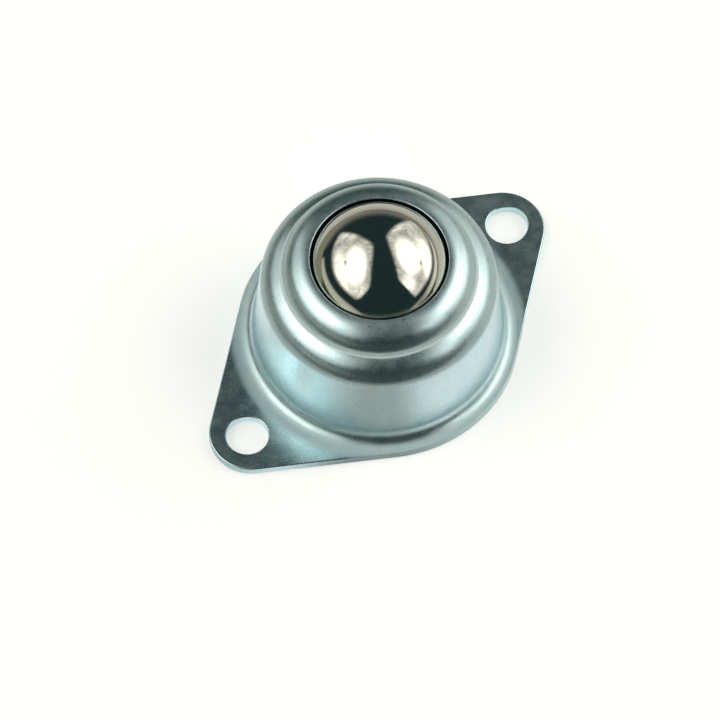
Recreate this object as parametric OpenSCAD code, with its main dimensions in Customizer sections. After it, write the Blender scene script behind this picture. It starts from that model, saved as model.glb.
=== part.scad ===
// Ball transfer unit with a two-hole flange
//
// One pressed steel housing carries everything: its flange bolts down, its drum holds a
// hardened bowl, and its cap closes over a large load ball. The load ball rolls in any
// direction on rows of small support balls that run on the inside of the bowl.
// Millimetres. The origin is on the mounting plane, under the centre of the load ball,
// with +Z up and +X through one mounting hole.

/* [Balls] */
// Diameter of the load ball (one inch)
ball_d = 25.4; // [24:0.1:26]
// Diameter of each support ball (5/32 inch)
support_d = 3.969; // [3.7:0.01:4.1]
// Rows of support balls, counted outwards from the bottom of the bowl
support_rows = 4; // [2:1:4]
// How far the load ball stands above the edge of the cap
ball_show = 5.9; // [5:0.05:6.4]

/* [Bowl] */
// Wall of the bowl
bowl_t = 1.2; // [0.9:0.1:1.6]
// Depth of the rim below the centre of the load ball
rim_drop = 1.6; // [1.2:0.1:2.4]
// How far the land stands out beyond the bowl's wall at the rim
land_over = 0.05; // [0.03:0.01:0.3]
// Height of the land that is pressed into the drum
rim_h = 3.2; // [2:0.1:5]
// Diameter of the drain hole in the bottom of the bowl
drain_d = 2.6; // [1.5:0.1:4]

/* [Housing] */
// Thickness of the pressed sheet
sheet_t = 1.5; // [1:0.1:1.8]
// Draft of the drum's wall, in degrees
draft = 4; // [2:0.25:6]
// Outside radius of the shoulder that closes the drum
shoulder_r = 4.8; // [4.2:0.1:5.6]
// Outside radius of the cap around the ball opening
cap_r = 4.4; // [4:0.1:4.8]
// Dip of the cap's surface towards the edge of the opening, in degrees
lip_dip = 4.5; // [0:0.5:8]
// Radius of the hollow blend between shoulder and cap
crease_r = 0.45; // [0.3:0.05:0.8]
// Radius of the hollow blend between drum and flange
foot_r = 2.6; // [2:0.1:3]
// Rounding of the edge of the ball opening
lip_edge_r = 0.15; // [0.1:0.05:0.3]

/* [Flange] */
// Distance between the centres of the mounting holes
hole_pitch = 58; // [55:0.5:70]
// Diameter of the mounting holes
hole_d = 6.8; // [5.5:0.1:8]
// Radius of the round at the tip of each ear
ear_r = 6.9; // [6:0.1:8]
// Metal left between each mounting hole and the tip of its ear
ear_rim = 2.6; // [2:0.05:5]
// Flat metal left outside the blend at the flange's waist
waist_rim = 0.2; // [0.1:0.05:3]

/* [Clearances] */
// Gap between the load ball and the edge of the opening
lip_gap = 0.35; // [0.2:0.05:0.6]
// Radial play of the support balls between load ball and bowl
race_play = 0.04; // [0.02:0.01:0.1]
// Play between neighbouring balls in one row
ball_play = 0.05; // [0.02:0.01:0.1]
// Play between neighbouring rows
row_play = 0.12; // [0.1:0.01:0.2]
// Radial gap of the bowl's land in the drum
press_gap = 0.01; // [0.005:0.005:0.03]
// Height of the bowl's bottom above the mounting plane
base_gap = 0.2; // [0.1:0.05:0.5]

/* [Hidden] */
$fn = 96;
// Overlap that lets a cut run cleanly past a face
eps = 1;
// A round is drawn this much over its size, so that it crosses the faces it is tangent to
merge = 0.0004;

// Balls and bowl, from the inside out
ball_r = ball_d / 2;
race_r = ball_r + support_d + race_play;
bowl_r = race_r + bowl_t;
ball_z = base_gap + bowl_r;
support_r = ball_r + (support_d + race_play) / 2;
rim_z = ball_z - rim_drop;
land_z = rim_z - rim_h;
rim_r = sqrt(pow(bowl_r, 2) - pow(rim_drop, 2)) + land_over;

// Rows of support balls: a polar step between rows, then as many balls as each row takes
row_step = 2 * asin((support_d + row_play) / 2 / support_r);
function row_radius(row) = support_r * sin(row * row_step);
function row_count(row) =
    floor(180 / asin((support_d + ball_play) / 2 / row_radius(row)));
function row_start(row) = row <= 1 ? 0 : row_start(row - 1) + row_count(row - 1);
support_count = row_start(support_rows + 1);
// One [row, place in the row] pair for each support ball
SUPPORTS = [for (row = [1:support_rows], place = [0:row_count(row) - 1]) [row, place]];

// Shoulder: its inner face meets the drum's wall at the bowl's rim
shoulder_c = [
    rim_r + press_gap - (shoulder_r - sheet_t) * cos(draft),
    rim_z - (shoulder_r - sheet_t) * sin(draft)
];

// Cap: its outer face meets the clearance sphere of the load ball at the opening's edge
clear_r = ball_r + lip_gap;
lip_rise = ball_r - ball_show;
lip_r = sqrt(pow(clear_r, 2) - pow(lip_rise, 2));
cap_c = [lip_r + cap_r * sin(lip_dip), ball_z + lip_rise - cap_r * cos(lip_dip)];

// Foot: the hollow blend touches the drum's wall and the top of the flange
foot_c = [wall_r(sheet_t + foot_r, -foot_r), sheet_t + foot_r];

// Flange: distance of an ear's round from the axis, and radius of the waist
ear_x = hole_pitch / 2 + hole_d / 2 + ear_rim - ear_r;
waist_r = foot_c.x + waist_rim;

// Radius of the drum's wall at height z, at a depth below its outer face
function wall_r(z, depth) =
    shoulder_c.x + (shoulder_r - depth) / cos(draft) + (shoulder_c.y - z) * tan(draft);

// Unit vector at an angle, and the angle's direction from one point to another
function ray(a) = [cos(a), sin(a)];
function toward(from, to) = (to - from) / norm(to - from);

// The point that lies r1 from c1 and r2 from c2, on the left of the way from c1 to c2
function meet(c1, r1, c2, r2) =
    let (d = norm(c2 - c1), u = toward(c1, c2),
         along = (pow(d, 2) + pow(r1, 2) - pow(r2, 2)) / (2 * d),
         across = sqrt(pow(r1, 2) - pow(along, 2)))
    c1 + along * u + across * [-u.y, u.x];

// Fills the hollow corner between two round faces with a blend of radius r
module hollow_blend(c1, r1, c2, r2, r) {
    f = meet(c1, r1 + r, c2, r2 + r);
    difference() {
        polygon([c1, f, c2, [c1.x, c2.y]]);
        translate(f) circle(r + merge);
    }
}

// Half section of the drum's inside or outside, at a depth below the outer face
module drum_section(depth) {
    r = shoulder_r - depth;
    polygon([
        [0, -eps], [wall_r(-eps, depth), -eps],
        shoulder_c + r * ray(draft), [shoulder_c.x, shoulder_c.y + r],
        [0, shoulder_c.y + r]
    ]);
    translate(shoulder_c) circle(r + merge);
}

// Half section of the cap, at a depth below the outer face
module cap_section(depth) {
    translate(cap_c) circle(cap_r - depth + merge);
    square(cap_c);
}

// Half section of the whole dome, at a depth below the outer face
module dome_section(depth) {
    drum_section(depth);
    cap_section(depth);
    hollow_blend(cap_c, cap_r - depth, shoulder_c, shoulder_r - depth, crease_r + depth);
}

// Half section of the metal or the void that the foot adds beside the drum's wall
module foot_section(depth) {
    level = sheet_t - depth;
    r = foot_r + depth;
    difference() {
        polygon([
            foot_c - r * ray(draft), foot_c, [foot_c.x, level],
            [foot_c.x, -2 * eps], [wall_r(-2 * eps, depth + eps), -2 * eps],
            [wall_r(foot_c.y, depth + eps), foot_c.y]
        ]);
        translate(foot_c) circle(r + merge);
    }
}

// Half section of the ball opening, with the sliver that rounds off its edge
module opening_section() {
    e = lip_edge_r;
    c = [0, ball_z];
    f = meet(c, clear_r + e, cap_c, cap_r - e);
    corner = meet(c, clear_r, cap_c, cap_r);
    translate(c) circle(clear_r + merge);
    difference() {
        polygon([
            c + clear_r * toward(c, f), f,
            cap_c + cap_r * toward(cap_c, f), f + 2 * (corner - f)
        ]);
        translate(f) circle(e + 3 * merge);
    }
}

// Turns the part of a half section right of the axis and above the floor into a solid
module turned(floor_z) {
    rotate_extrude() intersection() {
        children();
        translate([0, floor_z]) square([hole_pitch, 2 * ball_z]);
    }
}

// Outline of the flange: round ears, a round waist and straight tangents between them
module flange_outline() {
    a = acos((waist_r - ear_r) / ear_x);
    for (side = [-1, 1])
        translate([side * ear_x, 0]) circle(ear_r + merge);
    circle(waist_r + merge);
    polygon([
        for (q = [[1, 1], [-1, 1], [-1, -1], [1, -1]], k = [0, 1])
            let (ear = (k == 0) == (q.x == q.y), r = ear ? ear_r : waist_r)
            [q.x * ((ear ? ear_x : 0) + r * cos(a)), q.y * r * sin(a)]
    ]);
}

// Pressed housing: flange, drum, shoulder, cap and ball opening from one sheet
module housing() {
    color([0.62, 0.70, 0.71])
    difference() {
        union() {
            linear_extrude(sheet_t) flange_outline();
            turned(0) {
                dome_section(0);
                foot_section(0);
            }
        }
        turned(-eps) {
            dome_section(sheet_t);
            foot_section(sheet_t);
            opening_section();
        }
        for (side = [-1, 1])
            translate([side * hole_pitch / 2, 0, -eps])
                cylinder(h = sheet_t + 2 * eps, d = hole_d);
    }
}

// Hardened bowl: a round cup whose rim has a land that is pressed into the drum
module raceway_bowl() {
    color([0.45, 0.45, 0.44])
    rotate_extrude() difference() {
        union() {
            intersection() {
                translate([0, ball_z]) circle(bowl_r);
                square([bowl_r, rim_z]);
            }
            polygon([
                [0, land_z], [wall_r(land_z, sheet_t + press_gap), land_z],
                [rim_r, rim_z], [0, rim_z]
            ]);
        }
        translate([0, ball_z]) circle(race_r);
        square([drain_d / 2, ball_z]);
    }
}

// Load ball, polished
module load_ball() {
    color([0.80, 0.80, 0.78])
    translate([0, 0, ball_z]) sphere(ball_r, $fn = 128);
}

// One support ball, at its place in its row; alternate rows are staggered
module support_ball(row, place) {
    turn = 360 / row_count(row) * (place + (row % 2) / 2);
    color([0.70, 0.71, 0.72])
    translate([0, 0, ball_z - support_r * cos(row * row_step)])
        rotate([0, 0, turn])
            translate([row_radius(row), 0, 0]) sphere(support_d / 2, $fn = 32);
}

function support_name(i) = str("support_ball_", i < 9 ? "0" : "", i + 1);

housing();
raceway_bowl();
load_ball();
for (i = [0:support_count - 1])
    support_ball(SUPPORTS[i][0], SUPPORTS[i][1]);
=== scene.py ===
"""Looks of a ball transfer unit: pressed steel housing, hardened bowl, balls and studio.

In the frame of the CAD model: +Z up from the mounting plane, the origin under the centre of
the load ball and +X through one mounting hole. Pieces are sized in millimetres and made in
metres; the spans of masks and of the floor are in metres.
"""

import logging
import math
from dataclasses import dataclass
from enum import Enum
from functools import reduce
from typing import Iterable, Sequence

import bpy
import numpy as np
from mathutils import Matrix, Vector


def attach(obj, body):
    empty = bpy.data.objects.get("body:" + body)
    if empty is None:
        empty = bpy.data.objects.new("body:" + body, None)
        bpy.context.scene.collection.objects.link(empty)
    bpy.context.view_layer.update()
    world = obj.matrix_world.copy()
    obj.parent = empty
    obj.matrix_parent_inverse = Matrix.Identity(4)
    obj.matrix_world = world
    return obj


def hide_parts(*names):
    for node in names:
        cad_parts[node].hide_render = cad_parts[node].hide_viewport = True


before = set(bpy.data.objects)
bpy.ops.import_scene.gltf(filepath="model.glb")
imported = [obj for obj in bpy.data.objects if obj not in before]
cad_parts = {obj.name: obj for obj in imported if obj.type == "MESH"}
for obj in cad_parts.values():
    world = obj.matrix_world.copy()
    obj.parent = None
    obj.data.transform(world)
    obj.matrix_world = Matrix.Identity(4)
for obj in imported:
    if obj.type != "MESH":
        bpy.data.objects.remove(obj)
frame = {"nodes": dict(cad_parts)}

LOG = logging.getLogger("ball_transfer_unit")
MM = 0.001
# Points of a path closer than this, in millimetres, are one point
SAME_POINT = 1e-8
# Points of a piece closer than this, in metres, are welded
WELD = 1e-7
Colour = tuple[float, float, float]
Span = tuple[float, float]
Socket = bpy.types.NodeSocket
# The part of a noise's range that is spread to full contrast
NOISE_SPAN: Span = (0.3, 0.7)


class Body(Enum):
    """Rigid bodies that new pieces ride on, by their names in the record."""

    UNIT = "unit"
    LOAD = "load"


class Slot(Enum):
    """Material slots of the record, by their names."""

    SHEET = "zinc_plated_sheet"
    BOWL = "hardened_bowl"
    BALL = "polished_ball"


# ---- surfaces


def unit(v: np.ndarray) -> np.ndarray:
    """Vectors scaled to length one along their last axis."""
    return v / np.linalg.norm(v, axis=-1, keepdims=True)


def toward(a: np.ndarray, b: np.ndarray) -> np.ndarray:
    """Unit vector from point a to point b."""
    return unit(np.asarray(b, float) - np.asarray(a, float))


def circle(a: float | np.ndarray) -> np.ndarray:
    """Points (cos a, sin a) of the unit circle, for one angle in radians or for many."""
    return np.stack([np.cos(a), np.sin(a)], axis=-1)


def ray(degrees: float) -> np.ndarray:
    """Unit vector in the plane at an angle from the first axis."""
    return circle(math.radians(degrees))


def full_turn(steps: int) -> np.ndarray:
    """Angles of a full turn in equal steps, with the last one closing it."""
    return 2 * math.pi * np.arange(steps + 1) / steps


def meet(c1: np.ndarray, r1: float, c2: np.ndarray, r2: float) -> np.ndarray:
    """The crossing of two circles that lies left of the way from the first to the second.

    With d between the centres, the foot of the crossing is (d² + r1² - r2²) / 2d along the
    way, and the crossing stands off it by the root of r1² less that foot squared.

    Args:
        c1: Centre of the first circle.
        r1: Radius of the first circle.
        c2: Centre of the second circle.
        r2: Radius of the second circle.

    Returns:
        The crossing as a point in the plane.
    """
    d = float(np.linalg.norm(c2 - c1))
    u = (c2 - c1) / d
    along = (d * d + r1 * r1 - r2 * r2) / (2 * d)
    across = math.sqrt(r1 * r1 - along * along)
    return c1 + along * u + across * np.array([-u[1], u[0]])


class Stretch(Enum):
    """A stretch of a path: straight, or an arc whose surface faces outwards or its centre."""

    STRAIGHT = "straight"
    ROUND = "round"
    HOLLOW = "hollow"


@dataclass
class Patch:
    """A grid of points with the surface normal at each of them."""

    points: np.ndarray
    normals: np.ndarray


@dataclass
class Profile:
    """A path in the half plane of radius and height, with the surface normal at each point."""

    points: np.ndarray
    normals: np.ndarray

    def turned(self, angles: np.ndarray) -> Patch:
        """Turns the path about the Z axis.

        A point (r, z) becomes (r cos a, r sin a, z) at each angle a, and its normal turns
        the same way.

        Args:
            angles: Angles in radians; the last repeats the first to close the turn.

        Returns:
            The turned surface.
        """
        step = np.linalg.norm(np.diff(self.points, axis=0), axis=1)
        keep = np.concatenate([[True], step > SAME_POINT])
        c, s = np.cos(angles)[:, None], np.sin(angles)[:, None]
        return Patch(*(
            np.stack([c * v[:, 0], s * v[:, 0], np.broadcast_to(v[:, 1], (len(c), len(v)))], -1)
            for v in (self.points[keep], self.normals[keep])))


def follow(points: Sequence[np.ndarray], stretches: Iterable[tuple[Stretch, np.ndarray, int]]
           ) -> Profile:
    """A path with one stretch from each point to the next.

    On a straight stretch a point is the start plus t times the way to the end, with t from 0
    to 1. On an arc it is the centre plus the radius times (cos a, sin a), with a running
    evenly the short way from the start's angle to the end's, and the normal is (cos a, sin a)
    or, on a hollow face, its opposite.

    Args:
        points: The points. An arc's first point gives its radius.
        stretches: Each one's kind, its normal or its centre, and its number of steps.

    Returns:
        The path.
    """
    places, normals = [], []
    for (kind, about, count), start, end in zip(stretches, points, points[1:]):
        t = np.linspace(0, 1, count + 1)
        if kind is Stretch.STRAIGHT:
            places.append(start + t[:, None] * (end - start))
            normals.append(np.repeat(about[None, :], count + 1, axis=0))
            continue
        a0, a1 = (math.atan2(v[1], v[0]) for v in (start - about, end - about))
        sweep = (a1 - a0 + math.pi) % (2 * math.pi) - math.pi
        out = circle(a0 + sweep * t)
        places.append(about + np.linalg.norm(start - about) * out)
        normals.append(-out if kind is Stretch.HOLLOW else out)
    return Profile(np.concatenate(places), np.concatenate(normals))


def at_height(plan: np.ndarray, height: float) -> np.ndarray:
    """Points in plan, lifted to a height."""
    return np.column_stack([plan, np.full(len(plan), height)])


def between(edge: np.ndarray, other: np.ndarray, normal: Sequence[float], count: int) -> Patch:
    """A flat patch from one line of points to another.

    A point is edge(u) plus v times the way to other(u), with v in equal steps from 0 to 1.

    Args:
        edge: Points of the first line.
        other: As many points of the second line.
        normal: The patch's normal.
        count: Number of steps across.

    Returns:
        The patch.
    """
    v = np.linspace(0, 1, count + 1)[None, :, None]
    points = edge[:, None, :] + v * (other - edge)[:, None, :]
    return Patch(points, np.broadcast_to(np.asarray(normal, float), points.shape))


def band(edge: np.ndarray, out: np.ndarray, depths: np.ndarray, heights: np.ndarray,
         lean: np.ndarray) -> Patch:
    """A band carried along an edge line, such as the rounded and cut rim of a sheet.

    A point is edge(u) less depth(v) along the outward direction, at height(v). Its normal
    is the outward direction times the first part of lean(v) plus its second part upwards.

    Args:
        edge: Points of the edge line; only their plan counts.
        out: Outward direction at each of them, in plan.
        depths: How far inside the edge line each step lies.
        heights: Height of each step.
        lean: Outward and upward part of the normal at each step.

    Returns:
        The band.
    """
    flat_out, plan = (at_height(v[:, :2], 0.0)[:, None, :] for v in (out, edge))
    up = np.array([0.0, 0.0, 1.0])
    points = plan - depths[None, :, None] * flat_out + heights[None, :, None] * up
    normals = lean[None, :, 0:1] * flat_out + lean[None, :, 1:2] * up
    return Patch(points, normals)


def rim_steps(thickness: float, top: float, bottom: float, count: int = 6
              ) -> tuple[np.ndarray, np.ndarray, np.ndarray]:
    """Depths, heights and normals down the cut rim of a sheet with rounded arrises.

    Each arris is a quarter circle: its depth is r (1 - cos a) and its height falls by
    r (1 - sin a), with a running from upright to level at the top and on below.

    Args:
        thickness: Thickness of the sheet.
        top: Radius of the upper arris.
        bottom: Radius of the lower arris.
        count: Steps in each quarter.

    Returns:
        Depths, heights and the outward and upward parts of the normals.
    """
    a = np.linspace(math.pi / 2, 0, count + 1)
    b = np.linspace(0, -math.pi / 2, count + 1)
    depths = np.concatenate([top * (1 - np.cos(a)), bottom * (1 - np.cos(b))])
    heights = np.concatenate([thickness - top * (1 - np.sin(a)), bottom * (1 + np.sin(b))])
    return depths, heights, circle(np.concatenate([a, b]))


def linked(name: str, data: bpy.types.ID) -> bpy.types.Object:
    """Puts a new object into the scene.

    Args:
        name: Its name.
        data: Its mesh or camera data.

    Returns:
        The object.
    """
    thing = bpy.data.objects.new(name, data)
    bpy.context.scene.collection.objects.link(thing)
    return thing


def make_piece(name: str, patches: Iterable[Patch], body: Body,
               nodes: Sequence[str], material: bpy.types.Material) -> None:
    """Welds patches into one closed piece with smooth normals and hangs it on its body.

    Points that fall together become one vertex. A square that loses a corner that way
    becomes a triangle, and one whose face looks away from its normals is turned round.

    Args:
        name: Name of the piece.
        patches: Its surfaces in millimetres, with shared border points.
        body: The body it rides on.
        nodes: The CAD nodes that it replaces.
        material: Its finish.
    """
    points, normals, quads, base = [], [], [], 0
    for patch in patches:
        n, m = patch.points.shape[:2]
        i = base + np.arange(n * m).reshape(n, m)
        quads.append(np.stack([i[:-1, :-1], i[1:, :-1], i[1:, 1:], i[:-1, 1:]], -1).reshape(-1, 4))
        points.append(patch.points.reshape(-1, 3))
        normals.append(patch.normals.reshape(-1, 3))
        base += n * m
    p, nrm, q = np.concatenate(points) * MM, np.concatenate(normals), np.concatenate(quads)
    _, first, back = np.unique(np.round(p / WELD).astype(np.int64), axis=0,
                               return_index=True, return_inverse=True)
    p, nrm, q = p[first], nrm[first], back.reshape(-1)[q]
    face = np.cross(p[q[:, 2]] - p[q[:, 0]], p[q[:, 3]] - p[q[:, 1]])
    turned = np.einsum("ij,ij->i", face, nrm[q].sum(axis=1)) < 0
    q[turned] = q[turned][:, ::-1]
    same = q == np.roll(q, -1, axis=1)
    whole, lost = q[~same.any(axis=1)], same.sum(axis=1) == 1
    folded, where = q[lost], same[lost].argmax(axis=1)
    rows = np.arange(len(folded))[:, None]
    tris = folded[rows, (where[:, None] + np.array([1, 2, 3])) % 4]
    mesh = bpy.data.meshes.new(name)
    mesh.from_pydata(p.tolist(), [], whole.tolist() + tris.tolist())
    mesh.polygons.foreach_set("use_smooth", np.ones(len(mesh.polygons), bool))
    mesh.normals_split_custom_set_from_vertices(unit(nrm).tolist())
    mesh.update()
    piece = linked(name, mesh)
    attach(piece, body.value)
    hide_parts(*nodes)
    mesh.materials.append(material)
    LOG.info("%s: %d points, %d faces", name, len(p), len(mesh.polygons))


# ---- materials


class Nodes:
    """Short calls for building a node tree."""

    def __init__(self, tree: bpy.types.NodeTree) -> None:
        """Starts from an empty tree."""
        self.tree = tree
        tree.nodes.clear()

    def feed(self, socket: Socket, value: object) -> None:
        """Links an output to a socket, or writes a plain value into it.

        Args:
            socket: An input of a node.
            value: An output of another node, a number or a colour.
        """
        if isinstance(value, Socket):
            self.tree.links.new(value, socket)
        elif isinstance(value, tuple) and len(value) == 3 and socket.type == "RGBA":
            socket.default_value = (*value, 1.0)
        else:
            socket.default_value = value

    def add(self, kind: str, inputs: dict[str | int, object] | None = None,
            **settings: object) -> bpy.types.Node:
        """Adds a node, applies its settings and feeds its inputs.

        Args:
            kind: Blender's name of the node type.
            inputs: What its inputs are fed, by their names or numbers.
            **settings: Properties of the node.

        Returns:
            The node.
        """
        node = self.tree.nodes.new(kind)
        for key, value in settings.items():
            setattr(node, key, value)
        for key, value in (inputs or {}).items():
            self.feed(node.inputs[key], value)
        return node

    def math(self, operation: str, *values: object) -> Socket:
        """The result of an operation on values."""
        node = self.add("ShaderNodeMath", dict(enumerate(values)), operation=operation)
        return node.outputs[0]

    def product(self, *values: object) -> Socket:
        """The product of any number of values."""
        return reduce(lambda a, b: self.math("MULTIPLY", a, b), values)

    def vector(self, operation: str, *values: object) -> Socket:
        """The result of an operation on vectors: a number where the operation gives one."""
        node = self.add("ShaderNodeVectorMath", dict(enumerate(values)), operation=operation)
        return node.outputs["Value" if operation in ("DOT_PRODUCT", "LENGTH") else "Vector"]

    def scaled(self, vector: object, factor: object) -> Socket:
        """A vector or a colour times a number."""
        inputs = {0: vector, "Scale": factor}
        return self.add("ShaderNodeVectorMath", inputs, operation="SCALE").outputs[0]

    def ramp(self, value: object, low: object, high: object, to_low: float = 0.0,
             to_high: float = 1.0) -> Socket:
        """A smooth step of a value that lies between low and high."""
        inputs = dict(enumerate((value, low, high, to_low, to_high)))
        return self.add("ShaderNodeMapRange", inputs, interpolation_type="SMOOTHSTEP").outputs[0]

    def within(self, value: object, rise: Span, fall: Span) -> Socket:
        """A mask of a value, 1 from the end of its rise to the start of its fall."""
        return self.product(self.ramp(value, *rise), self.ramp(value, *fall, 1.0, 0.0))

    def mix(self, factor: object, a: object, b: object, blend: str = "MIX") -> Socket:
        """Two colours mixed; the node's inputs 6 and 7 and its output 2 are the colour ones."""
        inputs = {0: factor, 6: a, 7: b}
        return self.add("ShaderNodeMix", inputs, data_type="RGBA", blend_type=blend).outputs[2]

    def noise(self, place: object, scale: float, detail: float, roughness: float) -> Socket:
        """A noise from 0 to 1, by its scale, its finer layers and how strong they are."""
        inputs = {"Vector": place, "Scale": scale, "Detail": detail, "Roughness": roughness}
        return self.add("ShaderNodeTexNoise", inputs).outputs["Fac"]


def new_group(name: str, inputs: dict[str, float], outputs: Sequence[str]
              ) -> tuple[Nodes, bpy.types.bpy_prop_collection]:
    """Starts a shader node group with number inputs and outputs.

    Args:
        name: Name of the group.
        inputs: Default of each input, by name.
        outputs: Name of each output.

    Returns:
        The group's builder and its inputs.
    """
    tree = bpy.data.node_groups.new(name, "ShaderNodeTree")
    nodes = Nodes(tree)
    for label, default in inputs.items():
        socket = tree.interface.new_socket(label, in_out="INPUT", socket_type="NodeSocketFloat")
        socket.default_value = default
    for label in outputs:
        tree.interface.new_socket(label, in_out="OUTPUT", socket_type="NodeSocketFloat")
    return nodes, nodes.add("NodeGroupInput").outputs


def grain_group() -> bpy.types.NodeTree:
    """Grain of a metal surface, shared by every finish.

    Fine is a speckle of the stated size, Broad a slow cloud eight times as large, and Relief
    a height of 0.7 Fine and 0.3 Broad.

    Returns:
        The node group.
    """
    n, given = new_group("metal_grain", {"Size mm": 0.3, "Contrast": 0.5},
                         ["Fine", "Broad", "Relief"])
    place = n.add("ShaderNodeTexCoord").outputs["Object"]
    scaled = n.scaled(place, n.math("DIVIDE", 1 / MM, given["Size mm"]))
    half = n.math("MULTIPLY", given["Contrast"], 0.5)
    fine = n.ramp(n.noise(scaled, 1.0, 3.0, 0.6), n.math("SUBTRACT", 0.5, half),
                  n.math("ADD", 0.5, half))
    broad = n.ramp(n.noise(scaled, 1 / 8, 2.0, 0.5), *NOISE_SPAN)
    relief = n.math("ADD", n.product(fine, 0.7), n.product(broad, 0.3))
    n.add("NodeGroupOutput", {"Fine": fine, "Broad": broad, "Relief": relief})
    return n.tree


def draw_marks_group() -> bpy.types.NodeTree:
    """Marks that drawing a cup leaves on its wall, shared by housing and bowl.

    Streaks run up the wall: a noise of the turning angle and, much slower, of the height.
    Rings run round it: a noise of the height and, much slower, of the angle.

    Returns:
        The node group.
    """
    n, given = new_group("draw_marks", {"Streaks per turn": 60.0, "Rings per mm": 1.5},
                         ["Streaks", "Rings"])
    place = n.add("ShaderNodeTexCoord").outputs["Object"]
    around = n.vector("NORMALIZE", n.vector("MULTIPLY", place, (1.0, 1.0, 0.0)))
    height = n.product(n.add("ShaderNodeSeparateXYZ", {0: place}).outputs["Z"], 1 / MM)

    def along(turn_scale: object, height_scale: object) -> Socket:
        """A point on the unit circle, raised by the height, each at its own scale."""
        lift = n.add("ShaderNodeCombineXYZ", {"Z": n.product(height, height_scale)})
        return n.vector("ADD", n.scaled(around, turn_scale), lift.outputs[0])

    per_turn = n.math("DIVIDE", given["Streaks per turn"], 2 * math.pi)
    streaks = n.ramp(n.noise(along(per_turn, 0.06), 1.0, 3.0, 0.6), *NOISE_SPAN)
    rings = n.noise(along(1.5, given["Rings per mm"]), 1.0, 2.0, 0.6)
    n.add("NodeGroupOutput", {"Streaks": streaks, "Rings": n.ramp(rings, *NOISE_SPAN)})
    return n.tree


def new_material(name: str) -> tuple[bpy.types.Material, Nodes]:
    """Makes an empty material.

    Args:
        name: Its name.

    Returns:
        The material and the builder of its nodes.
    """
    material = bpy.data.materials.new(name)
    material.use_nodes = True
    return material, Nodes(material.node_tree)


@dataclass(frozen=True)
class Groups:
    """The shared node groups, built once."""

    grain: bpy.types.NodeTree
    marks: bpy.types.NodeTree


@dataclass(frozen=True)
class SheetWorkAndCreaseHighlight:
    """How pressing has worked the housing's sheet, by the distance r from the axis.

    Each span says, in metres, where a mask rises or falls. The dome ends where the bend into
    the flange rises, over the last of the wall, and the bend falls over the flat. The crease
    is a thin line between cap and shoulder, where a pale, matt ring is painted as a highlight.
    """

    bend_rise: Span = (0.0212, 0.0222)
    bend_fall: Span = (0.0229, 0.0248)
    crease_rise: Span = (0.0156, 0.0158)
    crease_fall: Span = (0.0160, 0.0163)
    # Pale colour of the painted highlight along the crease
    crease_highlight_colour: Colour = (0.78, 0.93, 0.97)
    dome_rough: float = 0.10
    bend_rough: float = 0.26
    bend_matt: float = 0.60

    def apply(self, n: Nodes, fine: Socket, colour: Socket, rough: Socket) -> tuple[Socket, ...]:
        """Makes the dome grainy, the bend rougher and matt, and paints a pale, matt highlight on
        the crease.

        Args:
            n: The material's node builder.
            fine: Fine grain, from 0 to 1.
            colour: The finish's colour.
            rough: The finish's roughness.

        Returns:
            The new colour and roughness, and the share of plain metal.
        """
        place = n.add("ShaderNodeTexCoord").outputs["Object"]
        r = n.vector("LENGTH", n.vector("MULTIPLY", place, (1.0, 1.0, 0.0)))
        bend = n.within(r, self.bend_rise, self.bend_fall)
        # Painted highlight: a pale, matt ring along the crease
        crease = n.within(r, self.crease_rise, self.crease_fall)
        dome = n.math("SUBTRACT", 1.0, n.ramp(r, *self.bend_rise))
        rough = n.math("MULTIPLY_ADD", n.product(dome, fine), self.dome_rough, rough)
        rough = n.math("MULTIPLY_ADD", bend, self.bend_rough, rough)
        matt = n.math("MAXIMUM", crease, n.product(bend, self.bend_matt))
        return n.mix(crease, colour, self.crease_highlight_colour), rough, n.math("SUBTRACT", 1.0, matt)


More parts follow.
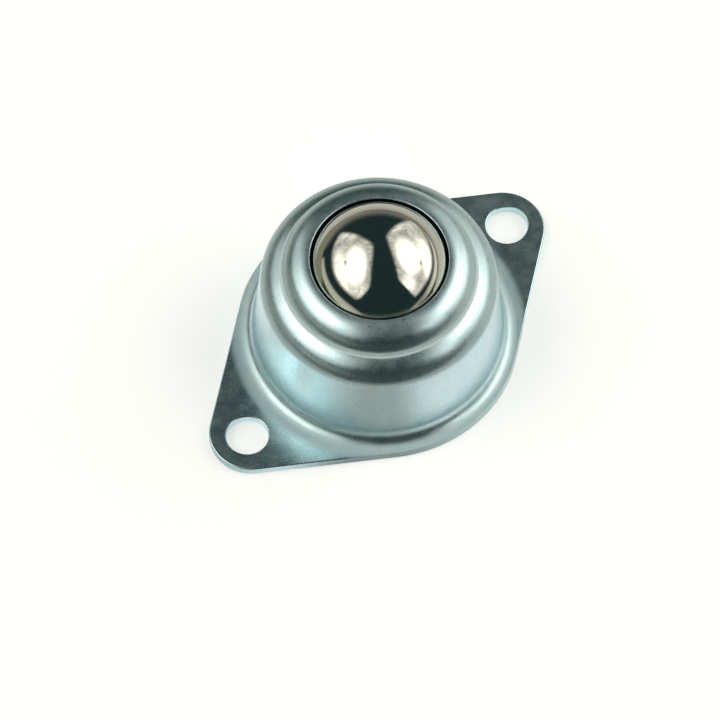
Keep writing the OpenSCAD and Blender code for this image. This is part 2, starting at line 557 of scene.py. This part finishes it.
@dataclass(frozen=True)
class SteelFinish:
    """A metal finish with grain and draw marks.

    Colour and tint alternate in a slow cloud. The spread is how far the roughness varies
    about its mean, the speckle how much the grain darkens, and the relief how high it is.
    """

    name: str
    colour: Colour
    tint: Colour
    roughness: float
    spread: float
    grain_mm: float
    contrast: float
    speckle: float
    relief_mm: float
    marks: float = 0.0
    work_and_highlight: SheetWorkAndCreaseHighlight | None = None
    broad_in_cloud: float = 0.6
    fine_in_rough: float = 0.6
    streak_dark: float = 0.25
    streak_rough: float = 0.3

    def material(self, groups: Groups) -> bpy.types.Material:
        """Builds the finish.

        Args:
            groups: The shared node groups.

        Returns:
            The material.
        """
        material, n = new_material(self.name)
        grain = n.add("ShaderNodeGroup", {"Size mm": self.grain_mm, "Contrast": self.contrast},
                      node_tree=groups.grain)
        marks = n.add("ShaderNodeGroup", node_tree=groups.marks)
        fine, broad = grain.outputs["Fine"], grain.outputs["Broad"]
        cloud = n.math("ADD", n.product(broad, self.broad_in_cloud),
                       n.product(marks.outputs["Rings"], 1 - self.broad_in_cloud))
        colour = n.mix(cloud, self.colour, self.tint)
        streak = n.product(marks.outputs["Streaks"], self.marks)
        dim = n.math("SUBTRACT", n.math("SUBTRACT", 1.0, n.product(fine, self.speckle)),
                     n.product(streak, self.streak_dark))
        grey = n.add("ShaderNodeCombineColor", {0: dim, 1: dim, 2: dim})
        vary = n.math("ADD", n.product(fine, self.fine_in_rough),
                      n.product(broad, 1 - self.fine_in_rough))
        rough = n.math("ADD", self.roughness - self.spread / 2, n.product(vary, self.spread))
        rough = n.math("ADD", rough, n.product(streak, self.streak_rough))
        metal: Socket | float = 1.0
        if self.work_and_highlight:
            colour, rough, metal = self.work_and_highlight.apply(n, fine, colour, rough)
        relief = n.math("ADD", grain.outputs["Relief"], streak)
        bump = n.add("ShaderNodeBump", {"Distance": self.relief_mm * MM, "Height": relief})
        shade = n.add("ShaderNodeBsdfPrincipled", {
            "Metallic": metal, "Base Color": n.mix(1.0, colour, grey.outputs[0], "MULTIPLY"),
            "Roughness": rough, "Normal": bump.outputs[0]})
        n.add("ShaderNodeOutputMaterial", {0: shade.outputs[0]})
        return material


ZINC = SteelFinish(
    "zinc_plated_sheet", (0.53, 0.71, 0.77), (0.62, 0.76, 0.79), roughness=0.25, spread=0.10,
    grain_mm=0.28, contrast=0.85, speckle=0.10, relief_mm=0.002, marks=0.10, work_and_highlight=SheetWorkAndCreaseHighlight())
HARDENED = SteelFinish(
    "hardened_bowl", (0.30, 0.31, 0.32), (0.42, 0.40, 0.37), roughness=0.34, spread=0.12,
    grain_mm=0.25, contrast=0.6, speckle=0.12, relief_mm=0.002, marks=0.25)
POLISHED = SteelFinish(
    "polished_ball", (0.76, 0.74, 0.68), (0.72, 0.70, 0.64), roughness=0.055, spread=0.03,
    grain_mm=0.5, contrast=0.5, speckle=0.05, relief_mm=0.0)
BEARING = SteelFinish(
    "bearing_ball", (0.70, 0.70, 0.69), (0.64, 0.64, 0.64), roughness=0.07, spread=0.04,
    grain_mm=0.3, contrast=0.5, speckle=0.04, relief_mm=0.0)


# ---- pieces


@dataclass
class UnitSizes:
    """Sizes that housing, bowl and balls share, in millimetres."""

    ball_r: float = 12.7
    support_d: float = 3.969
    race_play: float = 0.04
    bowl_t: float = 1.2
    base_gap: float = 0.2

    @property
    def race_r(self) -> float:
        """Radius of the bowl's running face."""
        return self.ball_r + self.support_d + self.race_play

    @property
    def bowl_r(self) -> float:
        """Outside radius of the bowl."""
        return self.race_r + self.bowl_t

    @property
    def ball_z(self) -> float:
        """Height of the load ball's centre."""
        return self.base_gap + self.bowl_r


@dataclass
class PressedHousing:
    """The housing: one sheet drawn into a stepped dome on a flange with two ears."""

    sizes: UnitSizes
    sheet_t: float = 1.5
    draft: float = 4.0
    rim_drop: float = 1.6
    land_over: float = 0.05
    press_gap: float = 0.01
    shoulder_r: float = 4.8
    cap_r: float = 4.4
    ball_show: float = 5.9
    lip_gap: float = 0.35
    lip_dip: float = 4.5
    crease_r: float = 0.45
    foot_r: float = 2.6
    lip_edge_r: float = 0.15
    inner_edge_r: float = 0.1
    hole_pitch: float = 58.0
    hole_r: float = 3.4
    ear_r: float = 6.9
    ear_rim: float = 2.6
    waist_rim: float = 0.2
    top_arris: float = 0.22
    bottom_arris: float = 0.06
    steps: int = 288
    ear_half: int = 24
    side_points: int = 15
    ear_points: int = 65
    ear_rings: int = 6

    @property
    def ear_x(self) -> float:
        """Distance of an ear's round from the axis."""
        return self.hole_pitch / 2 + self.hole_r + self.ear_rim - self.ear_r

    def waist(self) -> tuple[float, float]:
        """The waist's radius, and the angle at which a tangent to the ear leaves it."""
        waist_r = self.centres()["foot"][0] + self.waist_rim
        return waist_r, math.acos((waist_r - self.ear_r) / self.ear_x)

    def centres(self) -> dict[str, np.ndarray]:
        """Centres of every round in the dome's section.

        The shoulder's inner face meets the wall at the bowl's rim, the cap meets the ball's
        clearance at the opening, and each blend is one radius away from both its neighbours.

        Returns:
            The centres by name.
        """
        z, t = self.sizes.ball_z, self.sheet_t
        rim_r = math.sqrt(self.sizes.bowl_r**2 - self.rim_drop**2) + self.land_over
        shoulder = np.array([
            rim_r + self.press_gap - (self.shoulder_r - t) * ray(self.draft)[0],
            z - self.rim_drop - (self.shoulder_r - t) * ray(self.draft)[1],
        ])
        clear = self.sizes.ball_r + self.lip_gap
        rise = self.sizes.ball_r - self.ball_show
        lip = np.array([math.sqrt(clear**2 - rise**2), z + rise])
        cap = lip - self.cap_r * ray(90 + self.lip_dip)
        ball = np.array([0.0, z])
        foot_z = t + self.foot_r
        wall = (shoulder[0] + (self.shoulder_r + self.foot_r) / ray(self.draft)[0]
                + (shoulder[1] - foot_z) * math.tan(math.radians(self.draft)))
        return {
            "ball": ball,
            "shoulder": shoulder,
            "cap": cap,
            "foot": np.array([wall, foot_z]),
            "crease": meet(cap, self.cap_r + self.crease_r, shoulder,
                           self.shoulder_r + self.crease_r),
            "lip": meet(ball, clear + self.lip_edge_r, cap, self.cap_r - self.lip_edge_r),
            "inner": meet(ball, clear + self.inner_edge_r, cap,
                          self.cap_r - t + self.inner_edge_r),
        }

    def dome(self) -> list[Patch]:
        """Both faces of the dome, from the opening down the outside to the flange, and from
        the flange's underside up the inside to the opening.

        Returns:
            The outer and the inner face.
        """
        c, t, wall = self.centres(), self.sheet_t, ray(self.draft)
        clear = self.sizes.ball_r + self.lip_gap
        straight, rounded, hollow = Stretch.STRAIGHT, Stretch.ROUND, Stretch.HOLLOW

        def at(name: str, radius: float, aim: str) -> np.ndarray:
            """The point of a round that lies towards another round's centre."""
            return c[name] + radius * toward(c[name], c[aim])

        low = at("ball", clear, "inner")
        cap, shoulder, foot = self.cap_r, self.shoulder_r, self.foot_r
        outer = follow(
            [low, at("ball", clear, "lip"), at("cap", cap, "lip"), at("cap", cap, "crease"),
             at("shoulder", shoulder, "crease"), c["shoulder"] + shoulder * wall,
             c["foot"] - foot * wall, c["foot"] - np.array([0, foot])],
            [(hollow, c["ball"], 6), (rounded, c["lip"], 10), (rounded, c["cap"], 40),
             (hollow, c["crease"], 12), (rounded, c["shoulder"], 48), (straight, wall, 20),
             (hollow, c["foot"], 24)])
        cap, shoulder, foot = cap - t, shoulder - t, foot + t
        inner = follow(
            [c["foot"] - np.array([0, foot]), c["foot"] - foot * wall,
             c["shoulder"] + shoulder * wall, at("shoulder", shoulder, "crease"),
             at("cap", cap, "crease"), at("cap", cap, "inner"), low],
            [(rounded, c["foot"], 16), (straight, -wall, 12), (hollow, c["shoulder"], 20),
             (rounded, c["crease"], 10), (hollow, c["cap"], 12), (rounded, c["inner"], 6)])
        return [path.turned(full_turn(self.steps)) for path in (outer, inner)]

    def ear_line(self) -> tuple[np.ndarray, np.ndarray]:
        """Outline of the +X ear, from below the X axis round to above it.

        It runs along the tangent from waist to ear, round the ear's circle and back along
        the other tangent. A tangent's point lies at a distance s along its line, and an ear
        point at the ear's centre plus its radius times its normal.

        Returns:
            Points in plan and their outward normals.
        """
        waist_r, lean = self.waist()
        ear = np.array([self.ear_x, 0.0])
        start = self.ear_half * 2 * math.pi / self.steps
        first = waist_r / math.cos(lean - start) * circle(start)
        normal = circle(lean)
        t = np.linspace(0, 1, self.side_points)[:, None]
        side = first + t * (ear + self.ear_r * normal - first)
        ring = circle(np.linspace(lean, -lean, self.ear_points)[1:-1])
        round_ear = ear + self.ear_r * ring
        flip = np.array([1, -1])
        points = np.concatenate([side, round_ear, (side * flip)[::-1]])
        normals = np.concatenate([np.broadcast_to(normal, side.shape), ring,
                                  np.broadcast_to(normal * flip, side.shape)])
        return points[::-1], normals[::-1]

    def waist_line(self) -> tuple[np.ndarray, np.ndarray]:
        """Outline of the +Y waist, at the dome's own angles.

        Its radius is the waist's where the angle is nearer to Y than the tangent's normal,
        and the waist's over the cosine of the angle past that normal elsewhere.

        Returns:
            Points in plan and their outward normals.
        """
        waist_r, lean = self.waist()
        k = np.arange(self.ear_half, self.steps // 2 - self.ear_half + 1)
        a = 2 * math.pi * k / self.steps
        normal = np.clip(a, lean, math.pi - lean)
        return (waist_r / np.cos(a - normal))[:, None] * circle(a), circle(normal)

    def flange(self) -> list[Patch]:
        """Top, underside and rims of the flange.

        Between dome and outline the face is ruled. In each ear it runs from the closed line
        around it to the mounting hole, each point aiming at the hole's centre.

        Returns:
            The flange's patches.
        """
        t, foot_r = self.sheet_t, self.centres()["foot"][0]
        rims = rim_steps(t, self.top_arris, self.bottom_arris)
        levels = ((t, self.top_arris, 1.0), (0.0, self.bottom_arris, -1.0))
        patches: list[Patch] = []
        for side in (0, 1):
            turn = np.array([1.0, 1.0]) * (1 - 2 * side)
            for (edge, out), ear in ((self.ear_line(), True), (self.waist_line(), False)):
                edge, out = edge * turn, out * turn
                patches.append(band(edge, out, *rims))
                for height, inset, up in levels:
                    rim = at_height(edge - inset * out, height)
                    k = np.arange(-self.ear_half, self.ear_half + 1)[::-1]
                    a = (2 * math.pi * k / self.steps + math.pi * side if ear
                         else np.arctan2(edge[:, 1], edge[:, 0]))
                    base = at_height(foot_r * circle(a), height)
                    if not ear:
                        patches.append(between(base, rim, (0, 0, up), 1))
                        continue
                    loop = np.concatenate([rim, base, rim[:1]])
                    centre = np.array([self.hole_pitch / 2 * turn[0], 0.0, height])
                    hole = centre + (self.hole_r + inset) * unit(loop - centre)
                    patches.append(between(loop, hole, (0, 0, up), self.ear_rings))
                    if up > 0:
                        wall = unit(centre - loop)[:, :2]
                        ring = centre[:2] - self.hole_r * wall
                        patches.append(band(ring, wall, *rims))
        return patches

    def build(self, groups: Groups) -> None:
        """Builds the housing and gives it its finish."""
        make_piece("pressed_housing", [*self.dome(), *self.flange()], Body.UNIT,
                   ["housing"], ZINC.material(groups))


@dataclass
class RacewayBowl:
    """The hardened bowl with its running face, pressed land and drain hole."""

    sizes: UnitSizes
    housing: PressedHousing
    rim_h: float = 3.2
    drain_r: float = 1.3
    arris: float = 0.15
    steps: int = 192

    def section(self) -> Profile:
        """The bowl's section as one closed path, with small rounds at its edges.

        It runs up the running face, over the rim, down the land, along the back to the drain
        hole and up through it.

        Returns:
            The section.
        """
        s, h, e = self.sizes, self.housing, self.arris
        ball = np.array([0.0, s.ball_z])
        rim_z = s.ball_z - h.rim_drop
        land_z = rim_z - self.rim_h
        rim_r = math.sqrt(s.bowl_r**2 - h.rim_drop**2) + h.land_over
        slope = math.tan(math.radians(h.draft))
        wall = ray(h.draft)

        def on_wall(z: float, inset: float) -> np.ndarray:
            """Point on the land's tapered side at a height, at a depth inside it."""
            return np.array([rim_r + (rim_z - z) * slope - inset / wall[0], z])

        def on_race(z: float) -> np.ndarray:
            """Centre of the round between the running face and a level edge."""
            return np.array([math.sqrt((s.race_r + e) ** 2 - (s.ball_z - z) ** 2), z])

        inner_top = on_race(rim_z - e)
        outer_top, outer_low = on_wall(rim_z - e, e), on_wall(land_z + e, e)
        corner = np.array([math.sqrt(s.bowl_r**2 - (s.ball_z - land_z) ** 2), land_z])
        low_r = self.drain_r + e
        low_in = np.array([low_r, s.ball_z - math.sqrt((s.race_r + e) ** 2 - low_r**2)])
        low_out = np.array([low_r, s.ball_z - math.sqrt((s.bowl_r - e) ** 2 - low_r**2)])
        up, right = np.array([0.0, 1.0]), np.array([1.0, 0.0])
        race_low = ball + s.race_r * toward(ball, low_in)
        race_top = ball + s.race_r * toward(ball, inner_top)
        back_low = ball + s.bowl_r * toward(ball, low_out)
        straight, rounded, hollow = Stretch.STRAIGHT, Stretch.ROUND, Stretch.HOLLOW
        return follow(
            [race_low, race_top, inner_top + e * up, outer_top + e * up, outer_top + e * wall,
             outer_low + e * wall, outer_low - e * up, corner, back_low, low_out - e * right,
             low_in - e * right, race_low],
            [(hollow, ball, 64), (rounded, inner_top, 5), (straight, up, 3),
             (rounded, outer_top, 5), (straight, wall, 6), (rounded, outer_low, 5),
             (straight, -up, 3), (rounded, ball, 48), (rounded, low_out, 5),
             (straight, -right, 2), (rounded, low_in, 5)])

    def build(self, groups: Groups) -> None:
        """Builds the bowl and gives it its finish."""
        bowl = self.section().turned(full_turn(self.steps))
        make_piece("hardened_bowl", [bowl], Body.UNIT, ["raceway_bowl"],
                   HARDENED.material(groups))


@dataclass
class LoadBall:
    """The large polished ball."""

    sizes: UnitSizes
    around: int = 192
    along: int = 96

    def build(self, groups: Groups) -> None:
        """Builds the ball and gives it its finish.

        A point is the centre plus the radius times (sin b cos a, sin b sin a, cos b), with a
        round the axis and b from pole to pole.

        Args:
            groups: The shared node groups.
        """
        a = full_turn(self.around)
        b = math.pi * np.arange(self.along + 1) / self.along
        sin_b = np.sin(b)
        sin_b[[0, -1]] = 0.0
        n = np.stack([np.cos(a)[:, None] * sin_b, np.sin(a)[:, None] * sin_b,
                      np.broadcast_to(np.cos(b), (len(a), len(b)))], axis=-1)
        points = n * self.sizes.ball_r + np.array([0, 0, self.sizes.ball_z])
        make_piece("polished_ball", [Patch(points, n)], Body.LOAD, ["load_ball"],
                   POLISHED.material(groups))


@dataclass
class SupportBalls:
    """The small balls in the bowl, kept as the CAD model has them."""

    prefix: str = "support_ball_"

    def dress(self, nodes: dict[str, bpy.types.Object], groups: Groups) -> None:
        """Gives every support ball its finish.

        Args:
            nodes: The CAD nodes by name.
            groups: The shared node groups.
        """
        material = BEARING.material(groups)
        balls = [o for name, o in sorted(nodes.items()) if name.startswith(self.prefix)]
        for ball in balls:
            ball.data.materials.clear()
            ball.data.materials.append(material)
        LOG.info("%d support balls dressed", len(balls))


# ---- studio


@dataclass(frozen=True)
class Glow:
    """A soft oval on a panel's plane that adds to its light, or takes some away."""

    x: float
    y: float
    wide: float
    high: float
    power: float


@dataclass(frozen=True)
class LightPanel:
    """A glowing flat panel of the room, square to the way from the object to its middle.

    Azimuth counts from the camera's side, positive towards its right. The outline runs
    counter-clockwise round a convex shape on the panel's plane, in tangents of angles: 1 is
    45 degrees from the middle. The edge fades over its softness to either side, and a corner
    is rounded by a multiple of that. A glow fades over a span that is a share of its size.
    The room's cloud changes the panel's power and makes the edge of each glow ragged. A way
    whose depth along the panel's middle is under the nearest one misses the panel.
    """

    azimuth: float
    elevation: float
    outline: tuple[tuple[float, float], ...]
    colour: Colour
    strength: float
    soft: float = 0.04
    glows: tuple[Glow, ...] = ()
    cloud: float = 0.0
    corner: float = 2.5
    glow_fade: Span = (0.35, 1.1)
    ragged: float = 0.4
    nearest: float = 0.01


@dataclass
class Studio:
    """Camera and room light.

    The camera stands at a distance in millimetres from the origin, turned by its roll and
    moved by its offset to its right and upwards. It clips between two distances in metres.
    """

    azimuth: float = 46.18
    elevation: float = 61.0
    roll: float = 0.962
    distance: float = 1460.0
    offset: tuple[float, float] = (-2.92, -4.25)
    lens: float = 446.4
    sensor: float = 36.0
    clip: Span = (0.05, 20.0)
    cloud_noise: tuple[float, float, float] = (8.0, 4.0, 0.65)
    room: Colour = (0.015, 0.034, 0.035)
    panels: tuple[LightPanel, ...] = (
        LightPanel(
            -94.0, 47.0,
            ((-1.10, -0.55), (0.10, -0.53), (1.35, -0.15), (1.40, 0.02), (1.00, 0.55),
             (0.20, 0.66), (-0.48, 0.64)),
            (1.0, 0.98, 0.88), 0.62, 0.09,
            (Glow(0.16, 0.16, 0.62, 0.36, 2.4), Glow(0.12, -0.30, 0.60, 0.22, 1.1),
             Glow(0.03, -0.10, 0.12, 0.06, -0.9), Glow(1.0, 0.20, 0.35, 0.35, 0.45),
             Glow(-0.85, -0.15, 0.22, 0.40, 0.3), Glow(0.65, -0.15, 0.40, 0.30, 0.45)), 0.45),
        LightPanel(
            117.0, 34.0,
            ((-1.72, -0.10), (-0.75, -0.37), (0.10, -0.55), (0.95, -0.70), (0.80, 0.10),
             (0.60, 0.58), (0.10, 0.73), (-1.00, 0.80)),
            (1.0, 0.98, 0.88), 0.62, 0.09,
            (Glow(-0.15, 0.25, 0.58, 0.40, 2.4), Glow(-0.10, -0.28, 0.58, 0.28, 1.1),
             Glow(-0.25, -0.07, 0.12, 0.06, -0.9), Glow(-1.05, 0.34, 0.50, 0.40, 0.95),
             Glow(0.72, 0.0, 0.16, 0.55, 0.45), Glow(-0.50, -0.38, 0.35, 0.22, 0.7)), 0.45),
        LightPanel(-70.0, 0.0,
                   ((-0.9, -0.1), (1.9, -0.1), (1.1, 0.14), (0.7, 0.21), (-0.9, 0.09)),
                   (1.0, 1.0, 0.82), 0.32, 0.05, (Glow(-0.1, 0.0, 1.1, 0.7, 0.22),)),
        LightPanel(100.0, 0.0,
                   ((-2.0, -0.1), (1.3, -0.1), (0.5, 0.06), (-1.0, 0.15), (-1.4, 0.11)),
                   (1.0, 1.0, 0.86), 0.26, 0.05, (Glow(0.35, 0.0, 1.1, 0.7, 0.60),)),
        LightPanel(0.0, 0.0, ((-1.6, -0.1), (1.6, -0.1), (1.2, 0.10), (-1.2, 0.10)),
                   (0.85, 1.0, 0.75), 0.10, 0.06),
        LightPanel(180.0, 0.0, ((-1.6, -0.6), (1.6, -0.6), (1.6, 0.04), (-1.6, 0.04)),
                   (1.0, 0.93, 0.86), 0.32, 0.24),
    )

    def directions(self) -> tuple[np.ndarray, np.ndarray, np.ndarray]:
        """Unit vectors of the camera, whose way d is (cos e cos a, cos e sin a, sin e).

        Returns:
            The way to the camera, its right and its upward direction.
        """
        a, e, r = (math.radians(v) for v in (self.azimuth, self.elevation, self.roll))
        d = np.array([math.cos(e) * math.cos(a), math.cos(e) * math.sin(a), math.sin(e)])
        right = np.array([-math.sin(a), math.cos(a), 0.0])
        up = np.cross(d, right)
        return (d, math.cos(r) * right + math.sin(r) * up,
                math.cos(r) * up - math.sin(r) * right)

    def panel_axes(self, panel: LightPanel) -> tuple[np.ndarray, np.ndarray, np.ndarray]:
        """Unit vectors of a panel: the level one is up × middle, the rising middle × level.

        Args:
            panel: The panel.

        Returns:
            The way to the panel's middle, its level axis and its rising axis.
        """
        a = math.radians(self.azimuth + panel.azimuth)
        e = math.radians(panel.elevation)
        middle = np.array([math.cos(e) * math.cos(a), math.cos(e) * math.sin(a), math.sin(e)])
        along = unit(np.cross([0.0, 0.0, 1.0], middle))
        return middle, along, np.cross(middle, along)

    def panel_light(self, n: Nodes, panel: LightPanel, way: Socket,
                    cloud: Socket) -> Socket:
        """The light of one panel along a way.

        A way D meets the panel's plane at x = D·along / D·middle, y = D·above / D·middle. The
        point is inside the outline where its distance past every edge is negative. The mask
        is a smooth step of the largest of them, taken with a smooth maximum.

        Args:
            n: The world's node builder.
            panel: The panel.
            way: Direction looked along.
            cloud: Uneven light, from -1 to 1.

        Returns:
            The panel's colour times its mask and power.
        """
        middle, along, above = self.panel_axes(panel)
        depth = n.vector("DOT_PRODUCT", way, tuple(middle))
        safe = n.math("MAXIMUM", depth, panel.nearest)
        x = n.math("DIVIDE", n.vector("DOT_PRODUCT", way, tuple(along)), safe)
        y = n.math("DIVIDE", n.vector("DOT_PRODUCT", way, tuple(above)), safe)
        past: Socket | float = -10.0
        for (x0, y0), (x1, y1) in zip(panel.outline, panel.outline[1:] + panel.outline[:1]):
            length = math.hypot(x1 - x0, y1 - y0)
            nx, ny = (y1 - y0) / length, (x0 - x1) / length
            level = n.math("MULTIPLY_ADD", x, nx, -nx * x0 - ny * y0)
            past = n.math("SMOOTH_MAX", past, n.math("MULTIPLY_ADD", y, ny, level),
                          panel.corner * panel.soft)
        mask = n.product(n.ramp(past, -panel.soft, panel.soft, 1.0, 0.0),
                         n.math("GREATER_THAN", depth, panel.nearest))
        power: Socket | float = panel.strength
        for glow in panel.glows:
            across = n.math("DIVIDE", n.math("SUBTRACT", x, glow.x), glow.wide)
            upward = n.math("DIVIDE", n.math("SUBTRACT", y, glow.y), glow.high)
            away = n.math("SQRT", n.math("ADD", n.product(across, across),
                                         n.product(upward, upward)))
            away = n.math("MULTIPLY_ADD", cloud, panel.cloud * panel.ragged, away)
            power = n.math("ADD", power, n.ramp(away, *panel.glow_fade, glow.power, 0.0))
        power = n.product(power, n.math("MULTIPLY_ADD", cloud, panel.cloud, 1.0))
        return n.scaled(panel.colour, n.product(mask, power))

    def camera(self) -> None:
        """Makes the scene's camera, whose axes are the columns of its matrix."""
        d, right, up = self.directions()
        place = (self.distance * d + self.offset[0] * right + self.offset[1] * up) * MM
        data = bpy.data.cameras.new("camera")
        data.lens, data.sensor_width = self.lens, self.sensor
        data.clip_start, data.clip_end = self.clip
        camera = linked("camera", data)
        camera.matrix_world = Matrix.Translation(Vector(place)) @ Matrix(
            [[right[i], up[i], d[i]] for i in range(3)]).to_4x4()
        bpy.context.scene.camera = camera

    def light(self) -> None:
        """Lights the scene with the room: dark teal walls and bright panels.

        A camera ray sees plain white instead.
        """
        world = bpy.data.worlds.new("room")
        bpy.context.scene.world = world
        world.use_nodes = True
        n = Nodes(world.node_tree)
        way = n.add("ShaderNodeTexCoord").outputs["Generated"]
        cloud = n.ramp(n.noise(way, *self.cloud_noise), *NOISE_SPAN, -1.0, 1.0)
        total: Socket | Colour = self.room
        for panel in self.panels:
            total = n.mix(1.0, total, self.panel_light(n, panel, way, cloud), "ADD")
        rays = n.add("ShaderNodeLightPath").outputs
        seen = n.math("MAXIMUM", rays["Is Camera Ray"], rays["Is Transmission Ray"])
        back = n.add("ShaderNodeBackground", {"Color": n.mix(seen, total, (1.0, 1.0, 1.0))})
        n.add("ShaderNodeOutputWorld", {0: back.outputs[0]})

    def build(self) -> None:
        """Makes the camera, the light and the floor, and sets the plain view transform."""
        self.camera()
        self.light()
        Floor(self.azimuth).build()
        bpy.context.scene.view_settings.view_transform = "Standard"
        LOG.info("studio ready")


@dataclass(frozen=True)
class Floor:
    """A white disc that glows a little for the eye and keeps the object's shadow.

    What metal mirrors of it is a sheet of white paper on a bench instead, with painted light
    and shade. The paper has a painted glow beside the object and painted shade towards the
    camera, and darkens far behind it; the bench has painted shade on the camera's side.
    A span says, in metres, where a change starts and ends: ahead towards the camera, aside
    towards its right, or outwards from the axis.
    """

    azimuth: float
    spokes: int = 96
    rings: int = 24
    reach: Span = (0.02, 6.0)
    drop: float = 0.00005
    colour: Colour = (0.66, 0.66, 0.65)
    glow: float = 0.51
    roughness: float = 0.9
    gloss: float = 0.1
    left: Span = (-0.10625, -0.085)
    right: Span = (0.35, 0.385)
    front: Span = (0.052, 0.058)
    paper: Colour = (0.78, 0.78, 0.76)
    # Painted shade: the paper towards the camera is darker than beside the object
    paper_shaded_ahead: Colour = (0.65, 0.65, 0.64)
    near: Span = (0.0, 0.028)
    paper_far: Colour = (0.20, 0.20, 0.18)
    far: Span = (-0.42, 0.0)
    # Painted shade: the bench is dark on the camera's side; bench_lit is its lit copy behind the
    # object
    bench: Colour = (0.03, 0.04, 0.04)
    bench_lit: Colour = (0.30, 0.31, 0.24)
    lit: Span = (-0.02, 0.052)
    # Painted light: the paper beside the object glows in what metal mirrors
    paper_glow: float = 0.65
    glow_aside: Span = (0.004, 0.018)
    glow_reach: Span = (0.028, 0.042)

    def disc(self) -> bpy.types.Mesh:
        """The disc, just under the mounting plane.

        A point is r (cos a, sin a), with r on a growing scale.

        Returns:
            The mesh.
        """
        a = full_turn(self.spokes)
        r = np.concatenate([[0.0], np.geomspace(*self.reach, self.rings)])
        points = np.stack([np.cos(a)[:, None] * r, np.sin(a)[:, None] * r,
                           np.full((len(a), len(r)), -self.drop)], axis=-1)
        i = np.arange(len(a) * len(r)).reshape(len(a), len(r))
        quads = np.stack([i[:-1, :-1], i[:-1, 1:], i[1:, 1:], i[1:, :-1]], -1).reshape(-1, 4)
        mesh = bpy.data.meshes.new("floor")
        mesh.from_pydata(points.reshape(-1, 3).tolist(), [], quads.tolist())
        return mesh

    def mirrored(self, n: Nodes) -> tuple[Socket, Socket]:
        """What metal mirrors of the floor, with painted light and shade.

        Args:
            n: The floor's node builder.

        Returns:
            Its colour, and the mask of its painted glow.
        """
        place = n.add("ShaderNodeTexCoord").outputs["Object"]
        a = math.radians(self.azimuth)
        ahead = n.vector("DOT_PRODUCT", place, (math.cos(a), math.sin(a), 0.0))
        aside = n.vector("DOT_PRODUCT", place, (-math.sin(a), math.cos(a), 0.0))
        sheet = n.product(n.within(aside, self.left, self.right),
                          n.ramp(ahead, *self.front, 1.0, 0.0))
        # Painted shade: the paper turns darker towards the camera
        paper = n.mix(n.ramp(ahead, *self.near), self.paper, self.paper_shaded_ahead)
        paper = n.mix(n.ramp(ahead, *self.far), self.paper_far, paper)
        # Painted shade on the bench on the camera's side, its lit copy behind
        bench = n.mix(n.ramp(ahead, *self.lit, 1.0, 0.0), self.bench, self.bench_lit)
        beside = n.product(sheet, n.ramp(n.math("ABSOLUTE", aside), *self.glow_aside),
                           n.ramp(n.vector("LENGTH", place), *self.glow_reach, 1.0, 0.0))
        return n.mix(sheet, bench, paper), beside

    def build(self) -> None:
        """Makes the floor with its material."""
        mesh = self.disc()
        floor = linked("floor", mesh)
        material, n = new_material("white_floor")
        mirrored, beside = self.mirrored(n)
        rays = n.add("ShaderNodeLightPath").outputs
        metal = rays["Is Glossy Ray"]
        # Painted light: beside the object the paper glows for glossy rays
        glow = n.product(metal, beside, self.paper_glow)
        shade = n.add("ShaderNodeBsdfPrincipled", {
            "Base Color": n.mix(metal, self.colour, mirrored), "Roughness": self.roughness,
            "Specular IOR Level": self.gloss, "Emission Color": (1.0, 1.0, 1.0),
            "Emission Strength": n.math("MULTIPLY_ADD", rays["Is Camera Ray"], self.glow, glow)})
        n.add("ShaderNodeOutputMaterial", {0: shade.outputs[0]})
        mesh.materials.append(material)


def main() -> None:
    """Builds the studio and the unit."""
    logging.basicConfig(level=logging.INFO, format="%(name)s: %(message)s")
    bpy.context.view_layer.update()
    Studio().build()
    groups = Groups(grain_group(), draw_marks_group())
    sizes = UnitSizes()
    housing = PressedHousing(sizes)
    housing.build(groups)
    RacewayBowl(sizes, housing).build(groups)
    LoadBall(sizes).build(groups)
    SupportBalls().dress(frame["nodes"], groups)


if __name__ == "__main__":
    main()
